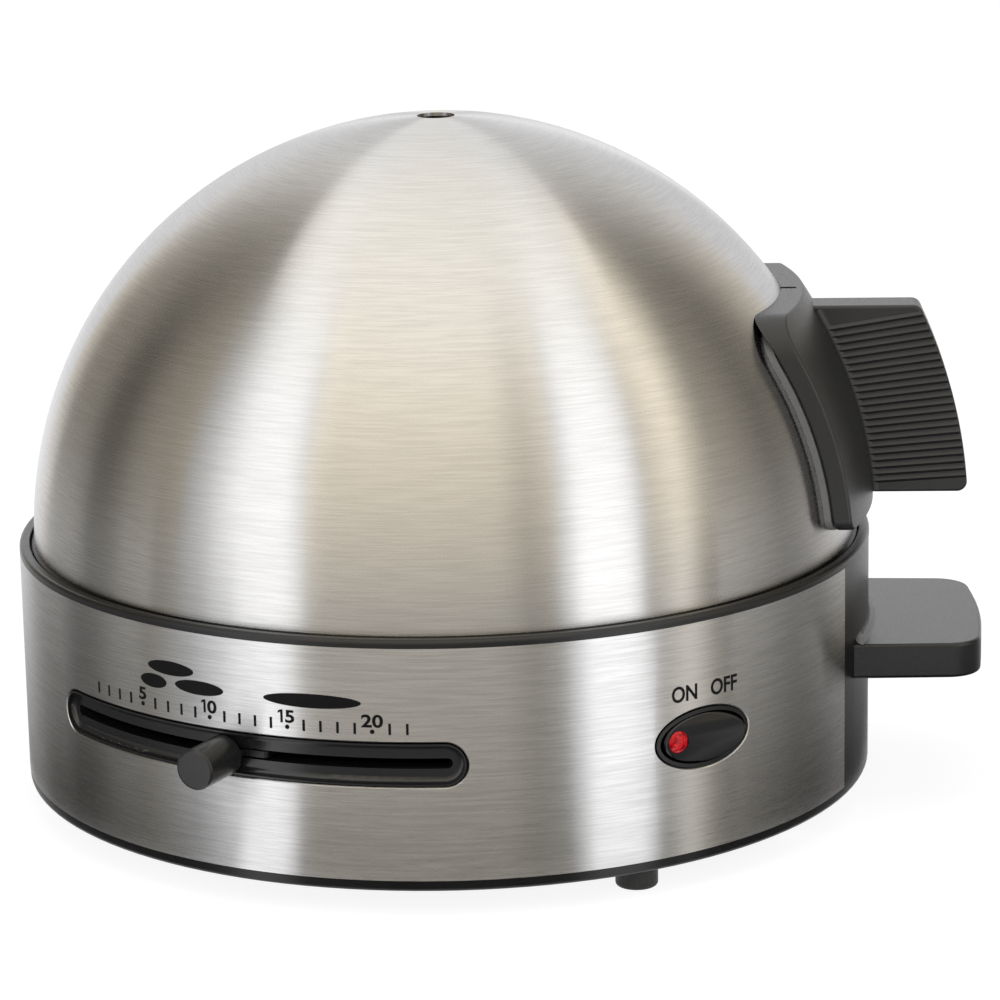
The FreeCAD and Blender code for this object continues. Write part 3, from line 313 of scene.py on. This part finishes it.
def relief(nodes, links, source, depth, strength):
    bump = nodes.new("ShaderNodeBump")
    bump.inputs["Distance"].default_value = depth
    bump.inputs["Strength"].default_value = strength
    links.new(source, bump.inputs["Height"])
    return bump.outputs["Normal"]


def moulded(name, dark, pale, smooth, rough, grain=2600.0, depth=0.00004, sheen=0.5):
    """Injection moulded plastic: cloudy colour, uneven gloss and a fine tool grain."""
    material, nodes, links = blank_material(name)
    shader = nodes["Principled BSDF"]
    shader.inputs["Specular IOR Level"].default_value = sheen
    where = nodes.new("ShaderNodeTexCoord").outputs["Object"]
    cloud = noise(nodes, links, where, scale=60.0, detail=4.0)
    pores = noise(nodes, links, where, scale=grain, detail=2.0)
    links.new(two_tones(nodes, links, cloud, dark, pale), shader.inputs["Base Color"])
    links.new(between(nodes, links, pores, smooth, rough), shader.inputs["Roughness"])
    links.new(relief(nodes, links, pores, depth, strength=0.5), shader.inputs["Normal"])
    return material


def dress(material, *names):
    for name in names:
        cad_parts[name].material_slots[0].material = material


black_moulding = moulded("black_moulding", dark=(0.004, 0.004, 0.0044), pale=(0.007, 0.007, 0.0074),
                         smooth=0.28, rough=0.38)
dress(black_moulding, "base_plate")


# Screws, washers, studs, nuts, the timer's shaft, and the pressed clamp and arm inside the base: all of
# zinc-plated steel, with the faint bluish mottle of the passivated plating.
def plated(name, dark, pale, smooth, rough):
    """Bare or plated metal: mottled colour and gloss, with a shallow relief."""
    material, nodes, links = blank_material(name)
    shader = nodes["Principled BSDF"]
    shader.inputs["Metallic"].default_value = 1.0
    where = nodes.new("ShaderNodeTexCoord").outputs["Object"]
    mottle = noise(nodes, links, where, scale=420.0, detail=5.0)
    links.new(two_tones(nodes, links, mottle, dark, pale), shader.inputs["Base Color"])
    links.new(between(nodes, links, mottle, smooth, rough), shader.inputs["Roughness"])
    links.new(relief(nodes, links, mottle, depth=0.00002, strength=0.4), shader.inputs["Normal"])
    return material


zinc = plated("zinc_plate", dark=(0.42, 0.44, 0.47), pale=(0.62, 0.63, 0.64), smooth=0.22, rough=0.42)
dress(zinc, "base_screws", "board_screws", "pan_studs", "pan_nuts", "clamp_spider", "slider_arm",
      "slider_screw", "potentiometer_shaft", "lid_handle_screws", "lid_handle_washers")

# Feet: soft black rubber plugs, dull and a little dusty. They are pushed through holes in the bottom
# cover and held by their heads.
foot_rubber = moulded("foot_rubber", dark=(0.007, 0.007, 0.007), pale=(0.012, 0.0115, 0.011),
                      smooth=0.5, rough=0.66, grain=1500.0, depth=0.00005)
dress(foot_rubber, "feet")

# Timer board: a plate of green fibreglass that carries the parts which time and drive the heater. It
# is screwed to posts of the bottom cover and is never seen from outside.
board_laminate = moulded("board_laminate", dark=(0.012, 0.075, 0.03), pale=(0.018, 0.11, 0.045),
                         smooth=0.3, rough=0.45, grain=1800.0)
dress(board_laminate, "control_board")

# Components: relay, buzzer, film capacitor and the slider's rotary control, all in dark moulded resin
# cases that stand on the board.
component_resin = moulded("component_resin", dark=(0.02, 0.022, 0.03), pale=(0.035, 0.037, 0.045),
                          smooth=0.3, rough=0.5)
dress(component_resin, "relay", "buzzer", "film_capacitor", "potentiometer")

# Contact boxes: the switch's box behind its well and the block on the bottom cover where the supply
# comes in, both black resin. The switch's three blades are stamped brass.
contact_box_resin = moulded("contact_box_resin", dark=(0.016, 0.016, 0.017), pale=(0.028, 0.028, 0.029),
                            smooth=0.35, rough=0.5)
dress(contact_box_resin, "switch_body", "terminal_block")
contact_brass = plated("contact_brass", dark=(0.52, 0.36, 0.13), pale=(0.68, 0.5, 0.2),
                       smooth=0.25, rough=0.4)
dress(contact_brass, "switch_terminals")

# Body: one charcoal moulding of rim, wall, top lip, side strip and tab handle. Its faces are satin,
# with the same grain as the bottom cover.
dress(black_moulding, "base_housing")

# Band: a brushed stainless sheet bent round the body in a recess between rim and lip, its ends a hair
# clear of the side strip. The belt that brushed it ran along it, so its lines run round the body.
BAND_R = 0.095
EDGE_TINT = (0.74, 0.74, 0.75, 1)
STROKE_ARC_R = 0.0917
# Softness and darkness of the painted shade below a dome's hem.
HEM_SOFTNESS = 0.0001
PAINTED_HEM_SHADE = 0.04


def arc_from_top(nodes, links, where, height, centre):
    """Length of the arc from a dome's top down to the spot, for lines that ring the top."""
    flat = nodes.new("ShaderNodeVectorMath")
    flat.operation = "MULTIPLY"
    flat.inputs[1].default_value = (1, 1, 0)
    links.new(where, flat.inputs[0])
    reach = nodes.new("ShaderNodeVectorMath")
    reach.operation = "LENGTH"
    links.new(flat.outputs[0], reach.inputs[0])
    rise = nodes.new("ShaderNodeMath")
    rise.operation = "SUBTRACT"
    rise.inputs[1].default_value = centre
    links.new(height, rise.inputs[0])
    slope = nodes.new("ShaderNodeMath")
    slope.operation = "ARCTAN2"
    links.new(reach.outputs["Value"], slope.inputs[0])
    links.new(rise.outputs[0], slope.inputs[1])
    arc = nodes.new("ShaderNodeMath")
    arc.operation = "MULTIPLY"
    arc.inputs[1].default_value = STROKE_ARC_R
    links.new(slope.outputs[0], arc.inputs[0])
    return arc.outputs[0]


def darkened_below(nodes, links, steel, height, hem):
    """Colour of the steel, painted nearly black below the hem's height as painted shade of the gap there.
    """
    above = nodes.new("ShaderNodeMapRange")
    above.inputs["From Min"].default_value = hem - HEM_SOFTNESS
    above.inputs["From Max"].default_value = hem + HEM_SOFTNESS
    above.inputs["To Min"].default_value = PAINTED_HEM_SHADE
    links.new(height, above.inputs["Value"])
    shaded = nodes.new("ShaderNodeVectorMath")
    shaded.operation = "SCALE"
    links.new(steel, shaded.inputs[0])
    links.new(above.outputs["Result"], shaded.inputs["Scale"])
    return shaded.outputs[0]


def brushed(name, dark, pale, smooth, rough, centre=None, hem=None):
    """Stainless steel brushed round the axis; with the height of a dome's centre, the lines ring its top
    instead, and with a hem height, the steel below it is painted nearly black as painted shade."""
    material, nodes, links = blank_material(name)
    shader = nodes["Principled BSDF"]
    shader.inputs["Metallic"].default_value = 1.0
    shader.inputs["Specular Tint"].default_value = EDGE_TINT
    shader.inputs["Anisotropic"].default_value = 1.0
    shader.inputs["Anisotropic Rotation"].default_value = 0.25
    where = nodes.new("ShaderNodeTexCoord").outputs["Object"]
    spot = nodes.new("ShaderNodeSeparateXYZ")
    links.new(where, spot.inputs[0])
    height = spot.outputs["Z"]
    across = height if centre is None else arc_from_top(nodes, links, where, height, centre)
    line = nodes.new("ShaderNodeCombineXYZ")
    links.new(spot.outputs["X"], line.inputs["X"])
    links.new(spot.outputs["Y"], line.inputs["Y"])
    links.new(across, line.inputs["Z"])

    def strokes(along, pitch, detail):
        stretch = nodes.new("ShaderNodeMapping")
        stretch.inputs["Scale"].default_value = (along, along, pitch)
        links.new(line.outputs[0], stretch.inputs["Vector"])
        return noise(nodes, links, stretch.outputs[0], scale=1.0, detail=detail)

    fine = strokes(along=220.0, pitch=9000.0, detail=2.0)
    broad = strokes(along=90.0, pitch=2600.0, detail=3.0)
    steel = two_tones(nodes, links, broad, dark, pale)
    # Below the hem the steel's colour is painted nearly black, as painted shade of the gap at the dome's
    # foot.
    if hem is not None:
        steel = darkened_below(nodes, links, steel, height, hem)
    links.new(steel, shader.inputs["Base Color"])
    links.new(between(nodes, links, fine, smooth, rough), shader.inputs["Roughness"])
    grain = nodes.new("ShaderNodeTangent")
    grain.direction_type = "RADIAL"
    grain.axis = "Z"
    links.new(grain.outputs[0], shader.inputs["Tangent"])
    return material


band_steel = brushed("band_steel", dark=(0.56, 0.557, 0.552), pale=(0.67, 0.667, 0.662),
                     smooth=0.26, rough=0.32)
dress(band_steel, "steel_band")

# Minute scale: black enamel screen-printed on the band, a few hundredths of a millimetre thick. Each
# minute has a tick, and every fifth a dot and a number instead.
PRINT_LIFT = 0.00004
OVAL_SIDES = 64
OVAL_SLICES = 16
LETTER_SWELL = 0.0001
MINUTE = 2.178
FIFTH_MINUTE = -38.51
LAST_MINUTE = 22
TICK_WIDTH = 0.00054
TICK_TALL = 0.0024
TICK_HEIGHT = 0.0403
DOT_SIZE = 0.00095
DOT_HEIGHT = 0.0397
NUMBER_SIZE = 0.0037
NUMBER_WIDEN = 1.24
NUMBER_HEIGHT = 0.0418
ONE_PLACE = -0.0012
ONE_STROKE = 0.0005
ONE_FLAG = 0.00055
ONE_FLAG_SLOPE = 0.55
PLACE_AFTER_ONE = 0.00062
enamel = moulded("black_enamel", dark=(0.006, 0.006, 0.007), pale=(0.009, 0.009, 0.01),
                 smooth=0.4, rough=0.6, grain=3500.0, depth=0.00001, sheen=0.1)


def wrap_on_band(piece, bearing, height):
    """Bends a flat print, x along the band and y up it, round the body and lays it on the steel."""
    for vertex in piece.data.vertices:
        angle = math.radians(bearing) + vertex.co.x / BAND_R
        radius = BAND_R + PRINT_LIFT + vertex.co.z
        vertex.co = (radius * math.sin(angle), -radius * math.cos(angle), height + vertex.co.y)


def printed_bar(width, tall):
    bpy.ops.object.select_all(action="DESELECT")
    bpy.ops.mesh.primitive_plane_add(size=1.0)
    bar = bpy.context.object
    bar.data.transform(Matrix.Diagonal((width, tall, 1, 1)))
    return bar


def printed_oval(width, tall):
    """Filled ellipse cut into upright slices, so that it bends round the body."""
    bpy.ops.object.select_all(action="DESELECT")
    bpy.ops.mesh.primitive_circle_add(vertices=OVAL_SIDES, radius=0.5, fill_type="NGON")
    oval = bpy.context.object
    oval.data.transform(Matrix.Diagonal((width, tall, 1, 1)))
    bpy.ops.object.mode_set(mode="EDIT")
    for step in range(1, OVAL_SLICES):
        bpy.ops.mesh.select_all(action="SELECT")
        bpy.ops.mesh.bisect(plane_co=(width * (step / OVAL_SLICES - 0.5), 0, 0), plane_no=(1, 0, 0))
    bpy.ops.object.mode_set(mode="OBJECT")
    return oval


def printed_text(words, size, widen):
    """Bold lettering, widened or narrowed to the proportions of the print."""
    bpy.ops.object.select_all(action="DESELECT")
    bpy.ops.object.text_add()
    text = bpy.context.object
    text.data.body = words
    text.data.size = size
    text.data.offset = LETTER_SWELL
    text.data.align_x = "CENTER"
    text.data.align_y = "CENTER"
    bpy.ops.object.convert(target="MESH")
    letters = bpy.context.object
    letters.data.transform(Matrix.Diagonal((widen, 1, 1, 1)))
    return letters


def printed_one(low, high):
    """Figure 1 in front of another figure: an upright stroke whose flag slopes down to the left."""
    stem = printed_bar(ONE_STROKE, high - low)
    stem.data.transform(Matrix.Translation((ONE_PLACE, (low + high) / 2, 0)))
    flag = printed_bar(ONE_FLAG, ONE_STROKE)
    for vertex in flag.data.vertices:
        vertex.co.y += vertex.co.x * ONE_FLAG_SLOPE
    left = ONE_PLACE - (ONE_STROKE + ONE_FLAG) / 2
    head = high - (ONE_STROKE + ONE_FLAG * ONE_FLAG_SLOPE) / 2
    flag.data.transform(Matrix.Translation((left, head, 0)))
    return stem, flag


def printed_number(minute):
    """Shapes of a number: a leading 1 is drawn, and the rest is lettering."""
    figures = str(minute)
    number = printed_text(figures.lstrip("1"), NUMBER_SIZE, NUMBER_WIDEN)
    if not figures.startswith("1"):
        return [number]
    heights = [vertex.co.y for vertex in number.data.vertices]
    number.data.transform(Matrix.Translation((PLACE_AFTER_ONE, 0, 0)))
    return [number, *printed_one(min(heights), max(heights))]


def join_pieces(name, pieces, material):
    bpy.ops.object.select_all(action="DESELECT")
    for piece in pieces:
        piece.select_set(True)
    bpy.context.view_layer.objects.active = pieces[0]
    bpy.ops.object.join()
    whole = bpy.context.object
    whole.name = name
    whole.data.name = name
    whole.data.materials.clear()
    whole.data.materials.append(material)
    return whole


def print_together(name, prints):
    whole = join_pieces(name, prints, enamel)
    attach(whole, "base")


marks = []
numbers = []
for minute in range(1, LAST_MINUTE + 1):
    bearing = FIFTH_MINUTE + (minute - 5) * MINUTE
    if minute % 5:
        mark = printed_bar(TICK_WIDTH, TICK_TALL)
        wrap_on_band(mark, bearing, TICK_HEIGHT)
    else:
        mark = printed_oval(DOT_SIZE, DOT_SIZE)
        wrap_on_band(mark, bearing, DOT_HEIGHT)
        for shape in printed_number(minute):
            wrap_on_band(shape, bearing, NUMBER_HEIGHT)
            numbers.append(shape)
    marks.append(mark)
print_together("minute_marks", marks)
print_together("minute_numbers", numbers)

# Cooking zones: four plain ovals above the scale, printed in the same enamel as the minutes. Each has
# the bearings of its two ends and the height of its middle.
ZONES = ((-37.32, -29.92, 0.0487), (-38.68, -34.27, 0.0453),
         (-32.85, -25.5, 0.0456), (-19.85, -7.15, 0.0456))
ZONE_TALL = 0.003
zones = []
for first, last, height in ZONES:
    zone = printed_oval(math.radians(last - first) * BAND_R, ZONE_TALL)
    wrap_on_band(zone, (first + last) / 2, height)
    zones.append(zone)
print_together("cooking_zones", zones)

# Switch legend: the switch's two words, printed above it in the same enamel as the minutes. Their
# letters are a little narrower than the typeface's own.
LEGEND = (("ON", 34.54), ("OFF", 40.71))
LEGEND_SIZE = 0.0047
LEGEND_WIDEN = 0.88
LEGEND_HEIGHT = 0.0424
legend = []
for words, bearing in LEGEND:
    word = printed_text(words, LEGEND_SIZE, LEGEND_WIDEN)
    wrap_on_band(word, bearing, LEGEND_HEIGHT)
    legend.append(word)
print_together("switch_legend", legend)

# Slider: a coved glossy black track behind the band's long window, and the satin round knob that runs
# along it on a steel arm.
track_black = moulded("track_black", dark=(0.01, 0.01, 0.011), pale=(0.014, 0.014, 0.015),
                      smooth=0.18, rough=0.27, grain=3600.0, depth=0.000004, sheen=0.6)
dress(track_black, "slider_bezel")
knob_black = moulded("knob_black", dark=(0.011, 0.011, 0.0115), pale=(0.015, 0.015, 0.0155),
                     smooth=0.26, rough=0.34, grain=3600.0, depth=0.000006)
dress(knob_black, "slider_knob")

# Cord gland: a flanged bush in the back wall, which a supply cord passes through. It is moulded in the
# same glossy black as the slider's track.
dress(track_black, "cord_gland")

# Switch: a polished black rocker that turns on two trunnions in an oval satin well, which a flange
# behind the wall holds. A domed red lens over its lamp sits in the rocker's face.
LENS_SHEEN = 0.3
dress(black_moulding, "switch_bezel")
polished_black = moulded("polished_black", dark=(0.003, 0.003, 0.004), pale=(0.005, 0.005, 0.006),
                         smooth=0.05, rough=0.09, grain=900.0, depth=0.000003)
dress(polished_black, "switch_rocker")
lens_red, nodes, links = blank_material("lens_red")
shader = nodes["Principled BSDF"]
shader.inputs["Specular IOR Level"].default_value = LENS_SHEEN
where = nodes.new("ShaderNodeTexCoord").outputs["Object"]
swirl = noise(nodes, links, where, scale=1300.0, detail=1.0)
reds = two_tones(nodes, links, swirl, dark=(0.36, 0.0, 0.006), pale=(0.9, 0.012, 0.02))
links.new(reds, shader.inputs["Base Color"])
links.new(between(nodes, links, swirl, smooth=0.08, rough=0.16), shader.inputs["Roughness"])
dress(lens_red, "switch_lens")

# Water pan: a pressed stainless basin that closes the base from above. The steel has a soft satin
# finish from its polishing wheel.
PAN_CENTRE = 0.03
pan_satin = brushed("pan_satin", dark=(0.5, 0.5, 0.5), pale=(0.6, 0.6, 0.6),
                    smooth=0.3, rough=0.42, centre=PAN_CENTRE)
dress(pan_satin, "water_pan")

# Pan seal: a pale silicone ring, soft and dull, squeezed between the pan's flange and a ledge of the
# body.
seal_silicone = moulded("seal_silicone", dark=(0.5, 0.5, 0.48), pale=(0.6, 0.6, 0.58),
                        smooth=0.5, rough=0.65)
dress(seal_silicone, "pan_seal")

# Heater: a cast alloy plate and a sheathed ring element clamped under the pan, with a dry-pan cut-out
# and its back-up fuse in bright metal cases.
cast_alloy = plated("cast_alloy", dark=(0.4, 0.4, 0.41), pale=(0.55, 0.55, 0.56),
                    smooth=0.45, rough=0.65)
dress(cast_alloy, "heat_spreader")
element_sheath = plated("element_sheath", dark=(0.2, 0.18, 0.17), pale=(0.32, 0.3, 0.28),
                        smooth=0.4, rough=0.6)
dress(element_sheath, "heating_element")
thermal_case = plated("thermal_case", dark=(0.5, 0.49, 0.46), pale=(0.66, 0.65, 0.62),
                      smooth=0.25, rough=0.4)
dress(thermal_case, "thermostat", "thermal_fuse")

# Egg rack: a black satin moulded tray with seven holes and two lifting tabs. It stands in the pan on
# four legs and lifts out.
rack_black = moulded("rack_black", dark=(0.02, 0.02, 0.021), pale=(0.03, 0.03, 0.031),
                     smooth=0.36, rough=0.5)
dress(rack_black, "egg_rack")

# Lid: a spun stainless dome, brushed on the lathe, so its lines are rings round the vent. Below the hem's
# height its foot is painted nearly black: painted shade of the gap between the dome and the body's lip.
DOME_CENTRE = 0.0595
DOME_HEM = 0.059
dome_steel = brushed("dome_steel", dark=(0.585, 0.577, 0.565), pale=(0.66, 0.652, 0.64),
                     smooth=0.24, rough=0.29, centre=DOME_CENTRE, hem=DOME_HEM)
dress(dome_steel, "lid_dome")

# Lid handle: a charcoal plate that follows the dome, with a ribbed upright fin moulded on, on a paler
# spacer that keeps it off the hot steel.
grip_moulding = moulded("grip_moulding", dark=(0.013, 0.013, 0.0138), pale=(0.018, 0.018, 0.0188),
                        smooth=0.34, rough=0.46, sheen=0.56)
dress(grip_moulding, "lid_handle")
spacer_moulding = moulded("spacer_moulding", dark=(0.14, 0.14, 0.14), pale=(0.17, 0.17, 0.17),
                          smooth=0.42, rough=0.58)
dress(spacer_moulding, "lid_handle_spacer")

# Handle's top lip: along its top the moulded plate reaches back to the dome, on both sides of a small
# notch, and so hides the spacer from above. Round the corners it draws back from the steel.
PLATE_TOP = 0.112
PLATE_HALF = 0.0363
PLATE_CORNER_R = 0.0085
PLATE_STRAIGHT = PLATE_HALF - PLATE_CORNER_R
LIP_INNER_R = 0.09175
LIP_OUTER_R = 0.09372
LIP_DEPTH = 0.00115
LIP_START = 0.0009
LIP_END = PLATE_STRAIGHT + PLATE_CORNER_R * math.radians(72)
LIP_STEPS = 24
TAPER_START = math.radians(22)
TAPER_END = math.radians(74)
LIP_EDGE_ANGLE = math.radians(35)


def lip_point(along, inset, outside):
    """Point of the lip along the plate's outline from its middle, inset from it, on its inner or outer
    face; round the corner the inner face draws back from the dome."""
    turned = max(0.0, along - PLATE_STRAIGHT) / PLATE_CORNER_R
    drawn_back = min(1.0, max(0.0, turned - TAPER_START) / (TAPER_END - TAPER_START))
    radius = LIP_OUTER_R if outside else LIP_INNER_R + (LIP_OUTER_R - LIP_INNER_R) * drawn_back
    reach = PLATE_CORNER_R - inset
    y = min(along, PLATE_STRAIGHT) + reach * math.sin(turned)
    z = PLATE_TOP - PLATE_CORNER_R + reach * math.cos(turned)
    return math.sqrt(radius ** 2 - y ** 2 - (z - DOME_CENTRE) ** 2), y, z


lips = []
for side in (-1, 1):
    bpy.ops.object.select_all(action="DESELECT")
    bpy.ops.mesh.primitive_grid_add(x_subdivisions=LIP_STEPS, y_subdivisions=1, size=2.0)
    lip = bpy.context.object
    wall = lip.modifiers.new("wall", "SOLIDIFY")
    wall.thickness = 1.0
    wall.offset = 1.0
    bpy.ops.object.modifier_apply(modifier="wall")
    for vertex in lip.data.vertices:
        along = LIP_START + (LIP_END - LIP_START) * (vertex.co.x + 1) / 2
        inset = LIP_DEPTH * (1 - vertex.co.y) / 2
        x, y, z = lip_point(along, inset, outside=vertex.co.z > 0.5)
        vertex.co = (x, side * y, z)
    lips.append(lip)
handle_lip = join_pieces("handle_top_lip", lips, grip_moulding)
bpy.ops.object.mode_set(mode="EDIT")
bpy.ops.mesh.select_all(action="SELECT")
bpy.ops.mesh.normals_make_consistent(inside=False)
bpy.ops.object.mode_set(mode="OBJECT")
bpy.ops.object.shade_smooth_by_angle(angle=LIP_EDGE_ANGLE)
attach(handle_lip, "lid")
